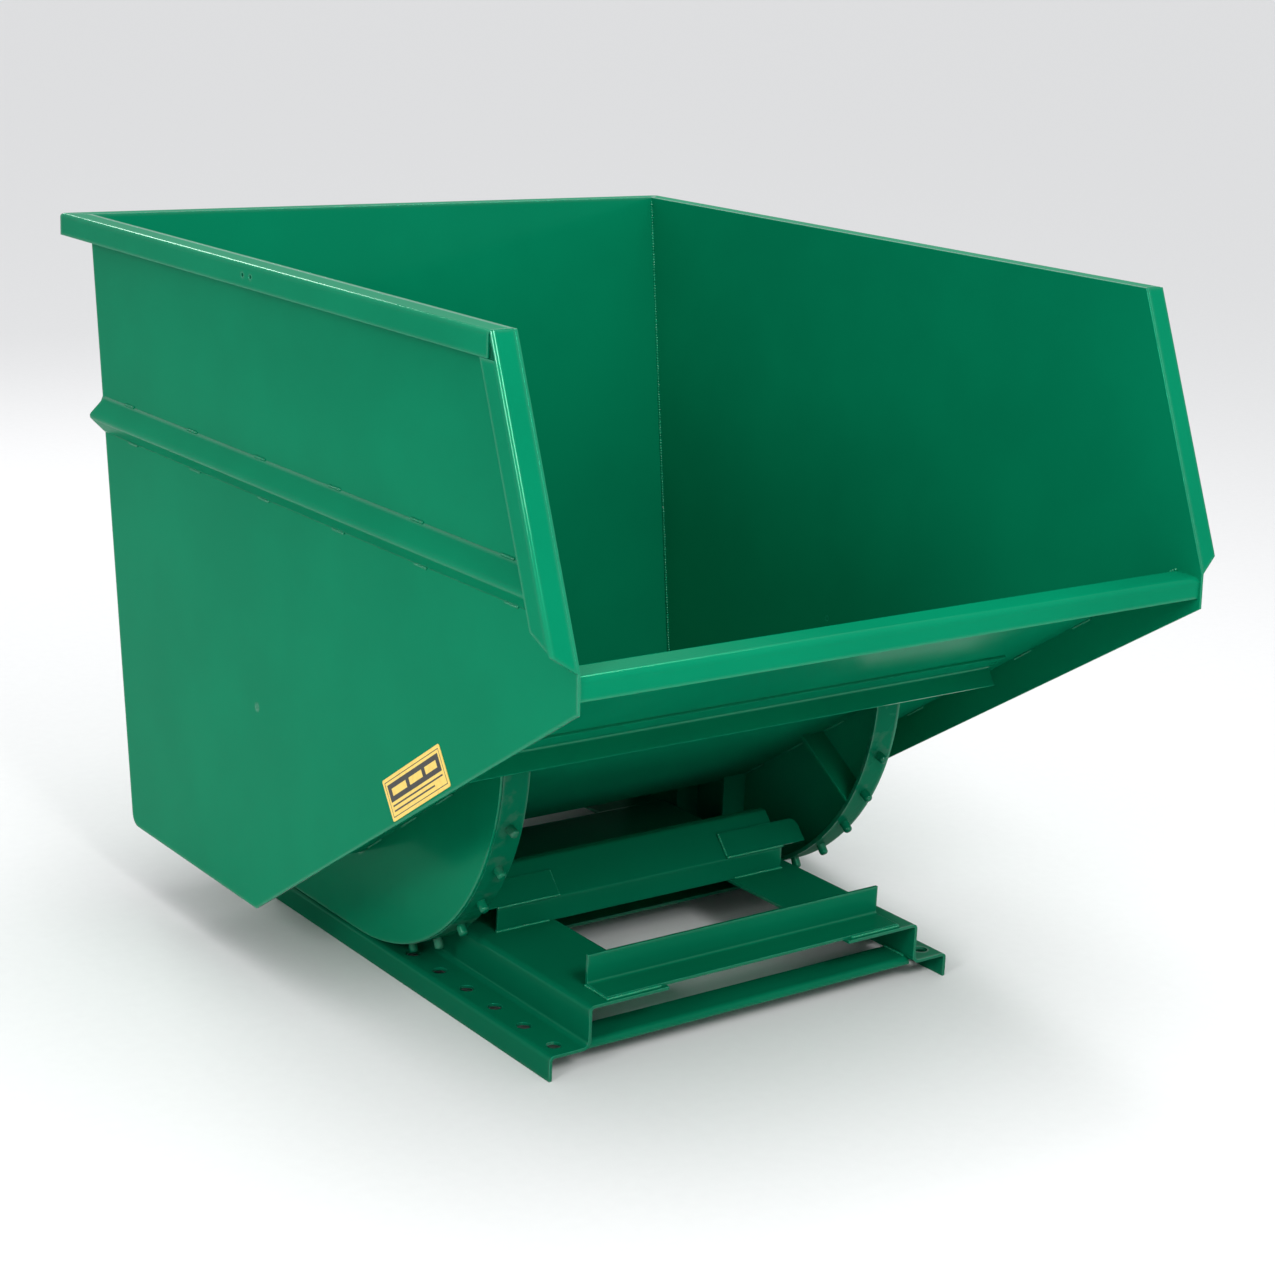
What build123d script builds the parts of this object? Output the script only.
"""Self-dumping forklift hopper: a steel bin that rolls forward on two curved rockers.

Frame: millimetres, +Z up, +X to the right seen from the front, the lip faces -Y.
The origin is on the ground, midway between the side panels and midway between the
nose and the latch grip.  Side views are drawn in (y, z) with y counted from the
line where the rockers touch their tracks, which lies CONTACT_Y behind the origin.
"""

from build123d import *
import math
import os

os.makedirs("parts", exist_ok=True)

SIDES = {"left": -1, "right": 1}

# ---------------------------------------------------------------- driving dimensions
# Hopper body
SIDE_X = 700  # outer face of a side panel
SHEET = 5  # sheet thickness of the hopper
RIM_Z = 1381  # top of the rim above the ground
RIM_WIDTH = 44  # how far the rim stands out from the panels
RIM_DROP = 44  # height of the rim's turned-down face
RIM_BEND = 8
FRONT_TOP_Y = -834  # front edge of a side panel at the rim
NOSE_Y = -1037  # lower end of that edge
NOSE_TOP_Z = 882
NOSE_BOTTOM_Y = -1040
NOSE_BOTTOM_Z = 816
PANEL_BOTTOM_Z = 140  # flat lower edge of a side panel
REAR_BOTTOM_Y = 545  # rear wall at the panels' lower edge
REAR_TOP_Y = 718  # rear wall at the rim
REAR_CORNER_R = 26
FLAT_TOP_Z = 219  # upper face of the hopper's flat bottom
SHEET_BEND = 12
FLOOR_SEAM = 2  # root gap between the flat bottom and the sloping floor
LIP_BACK_Y = -975  # where the sloping floor turns level
LIP_FRONT_Y = -1034
LIP_TOP_Z = 875
LIP_FACE = 40

# Stiffeners
RIB_REACH = 37  # how far a rib's ridge stands off its wall
RIB_NOSE_R = 9
SIDE_RIB_Z = 985
LOW_RIB_Z = 567
LOW_RIB_HALF = 680
RIB_END_GAP = 3
FLANGE_CUT = 33  # rise of the sloped cut at the foot of a front flange
FLANGE_TOP_GAP = 1
CROSS_Y = -565  # where the floor's cross angle meets the floor
CROSS_HALF = 630
CROSS_LEG = 44
CROSS_PAD = 62
CROSS_BEND = 10

# Rockers
ROLL_R = 495  # outer radius of a rocker rim
ROCKER_IN_X = 412  # inner edge of a rocker rim
ROCKER_X = 469  # outer edge of a rocker rim, inner face of its plate
ROCKER_PLATE = 5
ROCKER_RIM = 8
PLATE_STEP = 2  # the plate's edge lies this far inside the rim's
HEEL_Y = 400  # rear end of the rockers' flat heel
HEEL_R = 20
STUD_COUNT = 7
STUD_STEP = 11.25  # degrees between studs
STUD_FIRST = 6.5  # degrees from the contact line to the first stud
STUD_R = 9
STUD_LENGTH = 22
STUD_NOSE_R = 6
STUD_HOLE_PLAY = 5  # radial room round a stud in its hole
WEB_THICK = 6
WEB_TOP = (-240, 412)  # the slanted web's line, which runs on into floor and rim
WEB_FOOT = (-440, 286)
FRONT_WEB_Y = -23
REAR_WEB_Y = 140
PLUG_R = 5.7  # round plug at the rockers' centre
PLUG_PLAY = 0.05  # radial clearance of the plugs in the side panels

# Base
LEDGE_Z = 49  # track that the rockers roll on
TOP_Z = 127  # top plates, which the forks lift
RAIL_X = 475  # outer face of a rail's lip
RISER_X = 392  # outer face of a rail's riser
RAIL_IN_X = 215  # inner edge of a rail's top plate
RAIL = 6
RAIL_BEND = 11
RAIL_FRONT_Y = -678
RAIL_REAR_Y = 620
ROLL_GAP = 0.3  # running gap between rim and track
MEMBER_X = 347  # half length of the base's cross members
STOP_Y = -604  # front face of the stop angle
STOP_LEG = 62
STOP_FOOT = 65
RAMP_Y = -305
RAMP_UPRIGHT = 46
RAMP_RUN = 60
RAMP_RISE = 63
RAMP_RETURN = 16
RAMP_BEND = 8
RAMP_PLATE = 5
RAMP_PLATE_IN = 207
RAMP_PLATE_OUT = 407
RAMP_PLATE_LENGTH = 56
RAMP_PLATE_R = 18
BED_FRONT_Y = -60
BED_REAR_Y = 145
BED_X = 380
STRAP_WIDTH = 68
STRAP_DROP = 15
STRAP_OVERLAP = 10  # how far a strap reaches into the bends under the risers
STRAPS = {"front": -658, "middle": -186, "rear": 490}  # y of each strap's front edge

# Latch
CATCH_Z = 300
CATCH_REACH = 42  # catch bar's centre behind the rear wall
CATCH_R = 9
CATCH_PLATE_IN = 18
CATCH_PLATE = 8
CATCH_HALF_HEIGHT = 28
PIN_BACK = 70  # pivot behind and below the catch bar
PIN_DOWN = 60
PIN_R = 8
PIN_HEAD = 5
HOOK_THICK = 12
HOOK_PLAY = 0.4  # side clearance of the hook between the lugs
PIN_PLAY = 0.05  # radial clearance of the hook on its pin
HOOK_BOSS_R = 17
HOOK_OPEN = 22  # degrees the hook leans back when it is released
HOOK_NECK = (-13, 15)  # front and rear edges of the hook's upright
HOOK_ROOF = 73  # underside of the hook above the pin
HOOK_TOP = 102
HOOK_NOSE = (-96, -82)  # front and rear edges of the hook's nose
HOOK_NOSE_Z = 64
LUG_THICK = 8
LUG_R = 21
LUG_FOOT = 48
HANDLE_R = 10
HANDLE_LENGTH = 298
GRIP_R = 15
GRIP_LENGTH = 120
GRIP_CAP = 4

# Small things
TAG_HOLE_R = 3.5
TAG_HOLE_PITCH = 30
TAG_HOLE_Y = -38
LABEL_LENGTH = 217
LABEL_HEIGHT = 75
LABEL_THICK = 1
LABEL_CORNER_R = 4
LABEL_Y = -574
LABEL_Z = 567

# ---------------------------------------------------------------- derived places
RUN_Z = LEDGE_Z + ROLL_GAP  # underside of the rocker rims
ROLL_Z = RUN_Z + ROLL_R  # centre that the hopper turns about
PANEL_IN = SIDE_X - SHEET
RIM_X = SIDE_X + RIM_WIDTH
RIM_REAR_Y = REAR_TOP_Y + RIM_WIDTH
STUD_X = (ROCKER_IN_X + ROCKER_X) / 2
STUD_ANGLES = [math.radians(STUD_FIRST + STUD_STEP * i) for i in range(STUD_COUNT)]
FRONT_ANGLE = math.atan2(FRONT_TOP_Y - NOSE_Y, RIM_Z - NOSE_TOP_Z)
REAR_ANGLE = math.atan2(REAR_TOP_Y - REAR_BOTTOM_Y, RIM_Z - PANEL_BOTTOM_Z)
FLOOR_ANGLE = math.atan2(LIP_TOP_Z - FLAT_TOP_Z, -LIP_BACK_Y)
FLAT_UNDER_Z = FLAT_TOP_Z - SHEET


def rear_y(z):
    """Outer face of the rear wall at height z."""
    return REAR_BOTTOM_Y + math.tan(REAR_ANGLE) * (z - PANEL_BOTTOM_Z)


def front_y(z):
    """Front edge of a side panel at height z."""
    return FRONT_TOP_Y - math.tan(FRONT_ANGLE) * (RIM_Z - z)


def floor_under(y):
    """Height of the sloping floor's underside at y."""
    return FLAT_TOP_Z - math.tan(FLOOR_ANGLE) * y - SHEET / math.cos(FLOOR_ANGLE)


CATCH_Y = rear_y(CATCH_Z) + CATCH_REACH
PIN_Y = CATCH_Y + PIN_BACK
PIN_Z = CATCH_Z - PIN_DOWN
OPEN = math.radians(HOOK_OPEN)
GRIP_TOP = HOOK_TOP + HANDLE_LENGTH + GRIP_CAP
GRIP_REAR_Y = PIN_Y + GRIP_R * math.cos(OPEN) + GRIP_TOP * math.sin(OPEN)
CONTACT_Y = -(NOSE_BOTTOM_Y + GRIP_REAR_Y) / 2


# ---------------------------------------------------------------- drawing helpers
def side_plane(x):
    """Side view in (y, z), extruded towards +X."""
    return Plane(origin=(x, CONTACT_Y, 0), x_dir=(0, 1, 0), z_dir=(1, 0, 0))


def cross_plane(y, x=0, z=0):
    """Front view in (x, z), extruded forward."""
    return Plane(origin=(x, CONTACT_Y + y, z), x_dir=(1, 0, 0), z_dir=(0, -1, 0))


def level_plane(z):
    """Plan view in (x, y), extruded upward."""
    return Plane(origin=(0, CONTACT_Y, z))


def strip(sign, inner, outer):
    """Low x and width of a strip on one side, given its distances from the middle."""
    return (inner if sign > 0 else -outer), outer - inner


def outline(points, mode=Mode.ADD):
    """Straight-sided face in the open sketch."""
    with BuildLine() as path:
        Polyline(*points, close=True)
    make_face(path.edges(), mode=mode)


def folded(points, bend, thickness, material):
    """Folded sheet in the open sketch: one face follows the points."""
    with BuildLine() as path:
        FilletPolyline(*points, radius=bend)
        offset(amount=thickness, side=material)
    make_face(path.edges())


def rib_section(sketch, sign):
    """V section on a wall along local x = 0, both legs at 45 degrees."""
    root = SHEET * math.sqrt(2)
    tip = sign * RIB_REACH
    hollow = sign * (RIB_REACH - root)
    outline(
        [
            (0, RIB_REACH),
            (tip, 0),
            (0, -RIB_REACH),
            (0, root - RIB_REACH),
            (hollow, 0),
            (0, RIB_REACH - root),
        ]
    )
    for x, radius in ((tip, RIB_NOSE_R), (hollow, RIB_NOSE_R - SHEET)):
        fillet(sketch.vertices().sort_by_distance((x, 0))[0], radius=radius)


def below_floor(front, rear):
    """Outline of the space under the hopper's floor between two y."""
    return [(front, 0), (front, floor_under(front)), (rear, floor_under(rear)), (rear, 0)]


def save(part, name):
    """Label a finished piece and write its file."""
    part.label = name
    export_step(part, f"parts/{name}.step")


# ---------------------------------------------------------------- hopper body
for side, sign in SIDES.items():
    low_x, width = strip(sign, PANEL_IN, SIDE_X)
    with BuildPart() as side_panel:
        with BuildSketch(side_plane(low_x)) as panel:
            outline(
                [
                    (FRONT_TOP_Y, RIM_Z),
                    (NOSE_Y, NOSE_TOP_Z),
                    (NOSE_BOTTOM_Y, NOSE_BOTTOM_Z),
                    (0, PANEL_BOTTOM_Z),
                    (REAR_BOTTOM_Y, PANEL_BOTTOM_Z),
                    (REAR_TOP_Y, RIM_Z),
                ]
            )
            corner = (REAR_BOTTOM_Y, PANEL_BOTTOM_Z)
            fillet(panel.vertices().sort_by_distance(corner)[0], radius=REAR_CORNER_R)
            with Locations((0, ROLL_Z)):
                Circle(PLUG_R + PLUG_PLAY, mode=Mode.SUBTRACT)
        extrude(amount=width)
    save(side_panel.part, f"side_panel_{side}")

with BuildPart() as rear_sheet:
    wall_top = RIM_Z - 1
    with BuildSketch(side_plane(-PANEL_IN)):
        folded(
            [
                (rear_y(wall_top), wall_top),
                (rear_y(FLAT_UNDER_Z), FLAT_UNDER_Z),
                (FLOOR_SEAM, FLAT_UNDER_Z),
            ],
            REAR_CORNER_R,
            SHEET,
            Side.RIGHT,
        )
    extrude(amount=2 * PANEL_IN)
save(rear_sheet.part, "rear_sheet")

with BuildPart() as floor_sheet:
    with BuildSketch(side_plane(-PANEL_IN)):
        folded(
            [
                (0, FLAT_TOP_Z),
                (LIP_BACK_Y, LIP_TOP_Z),
                (LIP_FRONT_Y, LIP_TOP_Z),
                (LIP_FRONT_Y, LIP_TOP_Z - LIP_FACE),
            ],
            SHEET_BEND,
            SHEET,
            Side.LEFT,
        )
    extrude(amount=2 * PANEL_IN)
save(floor_sheet.part, "floor_sheet")

# ---------------------------------------------------------------- rims and front flanges
RIM_FRONT_Y = FRONT_TOP_Y + (SHEET + FLANGE_TOP_GAP) / math.cos(FRONT_ANGLE)

for side, sign in SIDES.items():
    with BuildPart() as side_rim:
        with BuildSketch(cross_plane(RIM_REAR_Y)):
            folded(
                [(sign * SIDE_X, RIM_Z), (sign * RIM_X, RIM_Z), (sign * RIM_X, RIM_Z - RIM_DROP)],
                RIM_BEND,
                SHEET,
                Side.RIGHT if sign > 0 else Side.LEFT,
            )
        extrude(amount=RIM_REAR_Y - RIM_FRONT_Y)
        # mitred where it meets the rear rim
        with BuildSketch(level_plane(RIM_Z - RIM_DROP)):
            outline(
                [
                    (sign * SIDE_X, REAR_TOP_Y),
                    (sign * RIM_X, RIM_REAR_Y),
                    (sign * SIDE_X, RIM_REAR_Y),
                ]
            )
        extrude(amount=RIM_DROP, mode=Mode.SUBTRACT)
        if side == "left":
            with BuildSketch(side_plane(-RIM_X)):
                with Locations((TAG_HOLE_Y, RIM_Z - RIM_DROP / 2)):
                    with GridLocations(TAG_HOLE_PITCH, 0, 2, 1):
                        Circle(TAG_HOLE_R)
            extrude(amount=SHEET, mode=Mode.SUBTRACT)
    save(side_rim.part, f"rim_{side}")

with BuildPart() as rear_rim:
    with BuildSketch(side_plane(-RIM_X)):
        folded(
            [(REAR_TOP_Y, RIM_Z), (RIM_REAR_Y, RIM_Z), (RIM_REAR_Y, RIM_Z - RIM_DROP)],
            RIM_BEND,
            SHEET,
            Side.RIGHT,
        )
    extrude(amount=2 * RIM_X)
    for sign in SIDES.values():
        with BuildSketch(level_plane(RIM_Z - RIM_DROP)):
            outline(
                [
                    (sign * SIDE_X, REAR_TOP_Y),
                    (sign * RIM_X, RIM_REAR_Y),
                    (sign * RIM_X, REAR_TOP_Y),
                ]
            )
        extrude(amount=RIM_DROP, mode=Mode.SUBTRACT)
save(rear_rim.part, "rim_rear")

FLANGE_LENGTH = (RIM_Z - NOSE_TOP_Z) / math.cos(FRONT_ANGLE)


def front_point(down, back):
    """Point `down` along the panels' front edge from its top and `back` square behind it."""
    y = FRONT_TOP_Y - down * math.sin(FRONT_ANGLE) + back * math.cos(FRONT_ANGLE)
    z = RIM_Z - down * math.cos(FRONT_ANGLE) - back * math.sin(FRONT_ANGLE)
    return (y, z)


for side, sign in SIDES.items():
    face_plane = Plane(
        origin=(0, CONTACT_Y + FRONT_TOP_Y, RIM_Z),
        x_dir=(1, 0, 0),
        z_dir=(0, -math.cos(FRONT_ANGLE), math.sin(FRONT_ANGLE)),
    )
    foot = FLANGE_LENGTH - FLANGE_CUT
    return_top = (RIM_DROP + FLANGE_TOP_GAP) / math.cos(FRONT_ANGLE)
    low_x, width = strip(sign, RIM_X - SHEET, RIM_X)
    with BuildPart() as front_flange:
        with BuildSketch(face_plane):
            outline(
                [
                    (sign * SIDE_X, 0),
                    (sign * RIM_X, 0),
                    (sign * RIM_X, -foot),
                    (sign * SIDE_X, -FLANGE_LENGTH),
                ]
            )
        extrude(amount=-SHEET)
        with BuildSketch(side_plane(low_x)):
            outline(
                [
                    front_point(return_top, 0),
                    front_point(foot, 0),
                    front_point(foot - RIM_DROP, RIM_DROP),
                    front_point(return_top - RIM_DROP * math.tan(FRONT_ANGLE), RIM_DROP),
                ]
            )
        extrude(amount=width)
        middle_y, middle_z = front_point(FLANGE_LENGTH / 2, 0)
        bend_at = (sign * RIM_X, CONTACT_Y + middle_y, middle_z)
        along = Axis((0, 0, 0), (0, math.sin(FRONT_ANGLE), math.cos(FRONT_ANGLE)))
        fillet(front_flange.edges().filter_by(along).sort_by_distance(bend_at)[0], radius=RIM_BEND)
    save(front_flange.part, f"front_flange_{side}")

# ---------------------------------------------------------------- V-shaped stiffeners
for side, sign in SIDES.items():
    rear_end = rear_y(SIDE_RIB_Z - RIB_REACH)
    front_end = front_y(SIDE_RIB_Z - RIB_REACH)
    with BuildPart() as side_rib:
        with BuildSketch(cross_plane(rear_end, sign * SIDE_X, SIDE_RIB_Z)) as section:
            rib_section(section, sign)
        extrude(amount=rear_end - front_end)
        # the front end stops behind the sloping front flange
        behind = SHEET + RIB_END_GAP
        with BuildSketch(side_plane(-RIM_X)):
            outline(
                [
                    front_point(0, behind),
                    front_point(FLANGE_LENGTH, behind),
                    front_point(FLANGE_LENGTH, -RIM_WIDTH),
                    front_point(0, -RIM_WIDTH),
                ]
            )
        extrude(amount=2 * RIM_X, mode=Mode.SUBTRACT)
    save(side_rib.part, f"side_rib_{side}")

for name, middle, half in (("upper", SIDE_RIB_Z, SIDE_X), ("lower", LOW_RIB_Z, LOW_RIB_HALF)):
    wall_plane = Plane(
        origin=(-half, CONTACT_Y + rear_y(middle), middle),
        x_dir=(0, math.cos(REAR_ANGLE), -math.sin(REAR_ANGLE)),
        z_dir=(1, 0, 0),
    )
    with BuildPart() as rear_rib:
        with BuildSketch(wall_plane) as section:
            rib_section(section, 1)
        extrude(amount=2 * half)
    save(rear_rib.part, f"rear_rib_{name}")

# Angle across the floor's underside: local x runs up the floor, local y square below it.
with BuildPart() as floor_angle:
    cross_floor = Plane(
        origin=(-CROSS_HALF, CONTACT_Y + CROSS_Y, floor_under(CROSS_Y)),
        x_dir=(0, -math.cos(FLOOR_ANGLE), math.sin(FLOOR_ANGLE)),
        z_dir=(1, 0, 0),
    )
    with BuildSketch(cross_floor):
        folded([(0, CROSS_LEG), (0, 0), (CROSS_PAD, 0)], CROSS_BEND, SHEET, Side.LEFT)
    extrude(amount=2 * CROSS_HALF)
save(floor_angle.part, "floor_angle")

# ---------------------------------------------------------------- rockers
for side, sign in SIDES.items():
    low_x, width = strip(sign, ROCKER_X, ROCKER_X + ROCKER_PLATE)
    with BuildPart() as rocker_plate:
        with BuildSketch(side_plane(low_x)) as profile:
            with Locations((0, ROLL_Z)):
                Circle(ROLL_R - PLATE_STEP)
            outline(below_floor(-ROLL_R, 0), mode=Mode.INTERSECT)
            heel_low = RUN_Z + PLATE_STEP
            with Locations((0, heel_low)):
                Rectangle(HEEL_Y, FLAT_UNDER_Z - heel_low, align=(Align.MIN, Align.MIN))
            fillet(profile.vertices().sort_by_distance((HEEL_Y, heel_low))[0], radius=HEEL_R)
        extrude(amount=width)
    save(rocker_plate.part, f"rocker_plate_{side}")

    low_x, width = strip(sign, ROCKER_IN_X, ROCKER_X)
    with BuildPart() as rocker_rim:
        with BuildSketch(side_plane(low_x)):
            with Locations((0, ROLL_Z)):
                Circle(ROLL_R)
                Circle(ROLL_R - ROCKER_RIM, mode=Mode.SUBTRACT)
            outline(below_floor(-ROLL_R, 0), mode=Mode.INTERSECT)
            with Locations((0, RUN_Z)):
                Rectangle(HEEL_Y, ROCKER_RIM, align=(Align.MIN, Align.MIN))
        extrude(amount=width)
    save(rocker_rim.part, f"rocker_rim_{side}")

    with BuildPart() as rocker_webs:
        with BuildSketch(side_plane(low_x)):
            with Locations((FRONT_WEB_Y, ROLL_Z)):
                Rectangle(WEB_THICK, 2 * ROLL_R)
            with BuildLine() as slanted:
                Line(WEB_TOP, WEB_FOOT)
            trace(slanted.edges(), line_width=WEB_THICK)
            with Locations((0, ROLL_Z)):
                Circle(ROLL_R - ROCKER_RIM, mode=Mode.INTERSECT)
            outline(below_floor(-ROLL_R, 0), mode=Mode.INTERSECT)
            web_low = RUN_Z + ROCKER_RIM
            with Locations((REAR_WEB_Y, web_low)):
                Rectangle(WEB_THICK, FLAT_UNDER_Z - web_low, align=(Align.CENTER, Align.MIN))
        extrude(amount=width)
    save(rocker_webs.part, f"rocker_webs_{side}")

    with BuildPart() as rocker_studs:
        for angle in STUD_ANGLES:
            y = -ROLL_R * math.sin(angle)
            z = ROLL_Z - ROLL_R * math.cos(angle)
            stud_plane = Plane(
                origin=(sign * STUD_X, CONTACT_Y + y, z),
                x_dir=(1, 0, 0),
                z_dir=(0, -math.sin(angle), -math.cos(angle)),
            )
            with BuildSketch(stud_plane):
                Circle(STUD_R)
            extrude(amount=STUD_LENGTH)
        roll_centre = (sign * STUD_X, CONTACT_Y, ROLL_Z)
        circles = rocker_studs.edges().filter_by(GeomType.CIRCLE).sort_by_distance(roll_centre)
        fillet(circles[-STUD_COUNT:], radius=STUD_NOSE_R)
    save(rocker_studs.part, f"rocker_studs_{side}")

with BuildPart() as roll_plugs:
    for sign in SIDES.values():
        low_x, width = strip(sign, PANEL_IN, SIDE_X)
        with BuildSketch(side_plane(low_x)):
            with Locations((0, ROLL_Z)):
                Circle(PLUG_R)
        extrude(amount=width)
save(roll_plugs.part, "roll_plugs")

# ---------------------------------------------------------------- base rails and straps
rails = {}
for side, sign in SIDES.items():
    with BuildPart() as rail:
        with BuildSketch(cross_plane(RAIL_REAR_Y)):
            folded(
                [
                    (sign * RAIL_X, 0),
                    (sign * RAIL_X, LEDGE_Z),
                    (sign * RISER_X, LEDGE_Z),
                    (sign * RISER_X, TOP_Z),
                    (sign * RAIL_IN_X, TOP_Z),
                ],
                RAIL_BEND,
                RAIL,
                Side.LEFT if sign > 0 else Side.RIGHT,
            )
        extrude(amount=RAIL_REAR_Y - RAIL_FRONT_Y)
        # a hole for every stud, where that stud points straight down
        with BuildSketch(level_plane(LEDGE_Z)):
            with Locations([(sign * STUD_X, -ROLL_R * angle) for angle in STUD_ANGLES]):
                Circle(STUD_R + STUD_HOLE_PLAY)
        extrude(amount=-RAIL, mode=Mode.SUBTRACT)
    save(rail.part, f"rail_{side}")
    rails[side] = rail.part

STRAP_HALF = RISER_X - RAIL + STRAP_OVERLAP
for name, front in STRAPS.items():
    with BuildPart() as strap:
        with BuildSketch(side_plane(-STRAP_HALF)):
            if name == "front":
                path = [(front + STRAP_WIDTH, LEDGE_Z), (front, LEDGE_Z), (front, LEDGE_Z - STRAP_DROP)]
                folded(path, RAIL_BEND, RAIL, Side.LEFT)
            else:
                with Locations((front, LEDGE_Z - RAIL)):
                    Rectangle(STRAP_WIDTH, RAIL, align=(Align.MIN, Align.MIN))
        extrude(amount=2 * STRAP_HALF)
        for rail_part in rails.values():
            add(rail_part, mode=Mode.SUBTRACT)
    save(strap.part, f"strap_{name}")

# ---------------------------------------------------------------- base cross members
for name, back in (("stop_angle", STOP_Y + RAIL), ("rear_angle", RAIL_REAR_Y)):
    with BuildPart() as cross_angle:
        with BuildSketch(side_plane(-MEMBER_X)):
            folded(
                [(back - RAIL - STOP_FOOT, TOP_Z), (back, TOP_Z), (back, TOP_Z + STOP_LEG)],
                RAIL_BEND,
                RAIL,
                Side.LEFT,
            )
        extrude(amount=2 * MEMBER_X)
    save(cross_angle.part, name)

KNEE_Z = TOP_Z + RAMP_UPRIGHT
with BuildPart() as ramp:
    with BuildSketch(side_plane(-MEMBER_X)):
        folded(
            [
                (RAMP_Y, TOP_Z),
                (RAMP_Y, KNEE_Z),
                (RAMP_Y + RAMP_RUN, KNEE_Z + RAMP_RISE),
                (RAMP_Y + RAMP_RUN + RAMP_RETURN, KNEE_Z + RAMP_RISE),
            ],
            RAMP_BEND,
            RAIL,
            Side.RIGHT,
        )
    extrude(amount=2 * MEMBER_X)
save(ramp.part, "ramp")

RAMP_ANGLE = math.atan2(RAMP_RISE, RAMP_RUN)
with BuildPart() as ramp_plates:
    ramp_face = Plane(
        origin=(0, CONTACT_Y + RAMP_Y, KNEE_Z),
        x_dir=(1, 0, 0),
        z_dir=(0, -math.sin(RAMP_ANGLE), math.cos(RAMP_ANGLE)),
    )
    with BuildSketch(ramp_face) as plates:
        plate_foot = RAMP_BEND * math.tan((math.pi / 2 - RAMP_ANGLE) / 2)
        for sign in SIDES.values():
            centre_x = sign * (RAMP_PLATE_IN + RAMP_PLATE_OUT) / 2
            with Locations((centre_x, plate_foot)):
                Rectangle(
                    RAMP_PLATE_OUT - RAMP_PLATE_IN,
                    RAMP_PLATE_LENGTH - plate_foot,
                    align=(Align.CENTER, Align.MIN),
                )
        for sign in SIDES.values():
            corner = (sign * RAMP_PLATE_OUT, RAMP_PLATE_LENGTH)
            fillet(plates.vertices().sort_by_distance(corner)[0], radius=RAMP_PLATE_R)
    extrude(amount=RAMP_PLATE)
save(ramp_plates.part, "ramp_plates")

with BuildPart() as bed_plate:
    with BuildSketch(level_plane(TOP_Z)):
        with Locations((0, BED_FRONT_Y)):
            Rectangle(2 * BED_X, BED_REAR_Y - BED_FRONT_Y, align=(Align.CENTER, Align.MIN))
    extrude(amount=RAIL)
save(bed_plate.part, "bed_plate")

# ---------------------------------------------------------------- catch on the hopper
with BuildPart() as catch_plates:
    for sign in SIDES.values():
        low_x, width = strip(sign, CATCH_PLATE_IN, CATCH_PLATE_IN + CATCH_PLATE)
        low, high = CATCH_Z - CATCH_HALF_HEIGHT, CATCH_Z + CATCH_HALF_HEIGHT
        reach = CATCH_Y + 2 * CATCH_R
        with BuildSketch(side_plane(low_x)) as plate:
            outline(
                [
                    (rear_y(low), low),
                    (rear_y(high), high),
                    (reach, CATCH_Z + 2 * CATCH_R),
                    (reach, CATCH_Z - 2 * CATCH_R),
                ]
            )
            fillet(plate.vertices().sort_by(Axis.X)[-2:], radius=CATCH_R)
        extrude(amount=width)
save(catch_plates.part, "catch_plates")

with BuildPart() as catch_bar:
    with BuildSketch(side_plane(-CATCH_PLATE_IN)):
        with Locations((CATCH_Y, CATCH_Z)):
            Circle(CATCH_R)
    extrude(amount=2 * CATCH_PLATE_IN)
save(catch_bar.part, "catch_bar")

# ---------------------------------------------------------------- latch on the base
LUG_IN = HOOK_THICK / 2 + HOOK_PLAY
with BuildPart() as latch_lugs:
    for sign in SIDES.values():
        low_x, width = strip(sign, LUG_IN, LUG_IN + LUG_THICK)
        foot_low = TOP_Z + STOP_LEG - LUG_FOOT
        with BuildSketch(side_plane(low_x)):
            outline(
                [
                    (RAIL_REAR_Y, foot_low),
                    (RAIL_REAR_Y, foot_low + LUG_FOOT),
                    (PIN_Y - LUG_R, PIN_Z),
                    (PIN_Y + LUG_R, PIN_Z),
                    (PIN_Y + LUG_R, PIN_Z - LUG_R),
                ]
            )
            with Locations((PIN_Y, PIN_Z)):
                Circle(LUG_R)
                Circle(PIN_R, mode=Mode.SUBTRACT)
        extrude(amount=width)
save(latch_lugs.part, "latch_lugs")

with BuildPart() as latch_pin:
    pin_half = LUG_IN + LUG_THICK
    with BuildSketch(side_plane(-pin_half)):
        with Locations((PIN_Y, PIN_Z)):
            Circle(PIN_R)
    extrude(amount=2 * pin_half)
    for sign in SIDES.values():
        low_x, width = strip(sign, pin_half, pin_half + PIN_HEAD)
        with BuildSketch(side_plane(low_x)):
            with Locations((PIN_Y, PIN_Z)):
                Circle(PIN_R + PIN_HEAD)
        extrude(amount=width)
save(latch_pin.part, "latch_pin")

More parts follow.
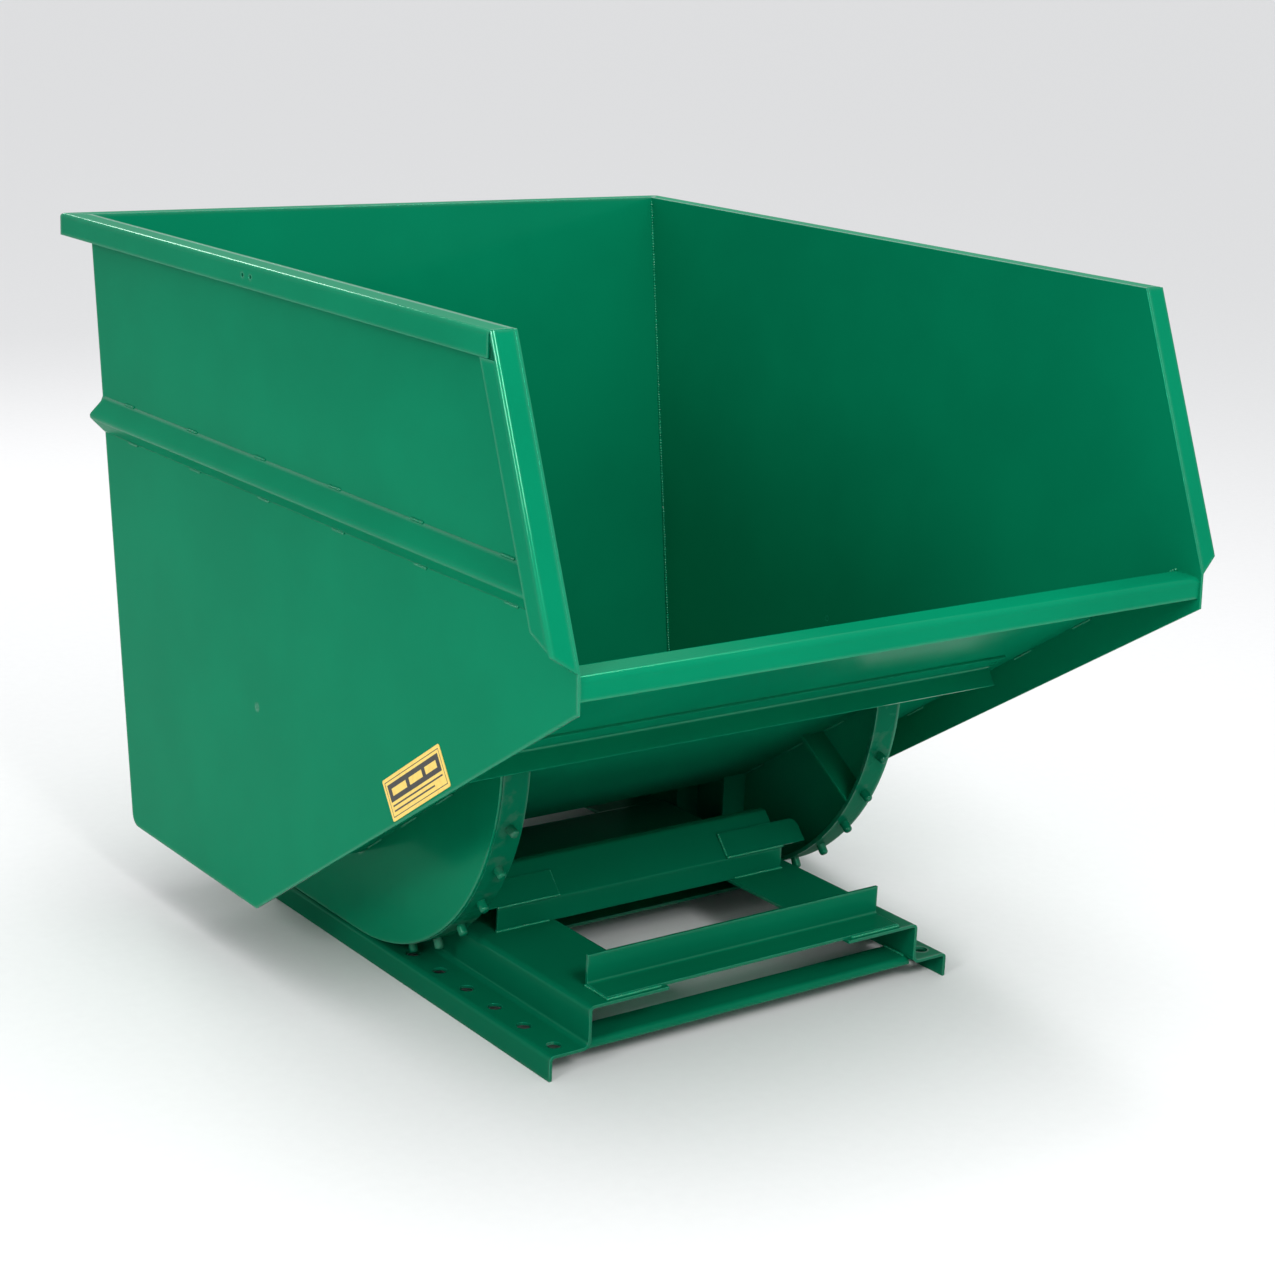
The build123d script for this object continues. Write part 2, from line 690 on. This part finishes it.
with BuildPart() as latch_hook:
    # local origin on the pin, local y along the leaning handle
    hook_plane = Plane(
        origin=(-HOOK_THICK / 2, CONTACT_Y + PIN_Y, PIN_Z),
        x_dir=(0, math.cos(OPEN), -math.sin(OPEN)),
        z_dir=(1, 0, 0),
    )
    with BuildSketch(hook_plane):
        Circle(HOOK_BOSS_R)
        outline(
            [
                (HOOK_NECK[0], 0),
                (HOOK_NECK[1], 0),
                (HOOK_NECK[1], HOOK_TOP),
                (HOOK_NOSE[0], HOOK_TOP),
                (HOOK_NOSE[0], HOOK_NOSE_Z),
                (HOOK_NOSE[1], HOOK_NOSE_Z),
                (HOOK_NOSE[1], HOOK_ROOF),
                (HOOK_NECK[0], HOOK_ROOF),
            ]
        )
        Circle(PIN_R + PIN_PLAY, mode=Mode.SUBTRACT)
    extrude(amount=HOOK_THICK)
save(latch_hook.part, "latch_hook")

HANDLE_PLANE = Plane(
    origin=(
        0,
        CONTACT_Y + PIN_Y + HOOK_TOP * math.sin(OPEN),
        PIN_Z + HOOK_TOP * math.cos(OPEN),
    ),
    x_dir=(1, 0, 0),
    z_dir=(0, math.sin(OPEN), math.cos(OPEN)),
)
with BuildPart() as latch_handle:
    with BuildSketch(HANDLE_PLANE):
        Circle(HANDLE_R)
    extrude(amount=HANDLE_LENGTH)
save(latch_handle.part, "latch_handle")

with BuildPart() as latch_grip:
    with BuildSketch(HANDLE_PLANE.offset(HANDLE_LENGTH + GRIP_CAP - GRIP_LENGTH)):
        Circle(GRIP_R)
    extrude(amount=GRIP_LENGTH)
    with BuildSketch(HANDLE_PLANE.offset(HANDLE_LENGTH)):
        Circle(HANDLE_R)
    extrude(amount=-GRIP_LENGTH, mode=Mode.SUBTRACT)
save(latch_grip.part, "latch_grip")

# ---------------------------------------------------------------- warning label
with BuildPart() as warning_label:
    with BuildSketch(side_plane(-SIDE_X - LABEL_THICK)):
        with Locations((LABEL_Y, LABEL_Z)):
            RectangleRounded(
                LABEL_LENGTH, LABEL_HEIGHT, LABEL_CORNER_R, rotation=-math.degrees(FLOOR_ANGLE)
            )
    extrude(amount=LABEL_THICK)
save(warning_label.part, "warning_label")
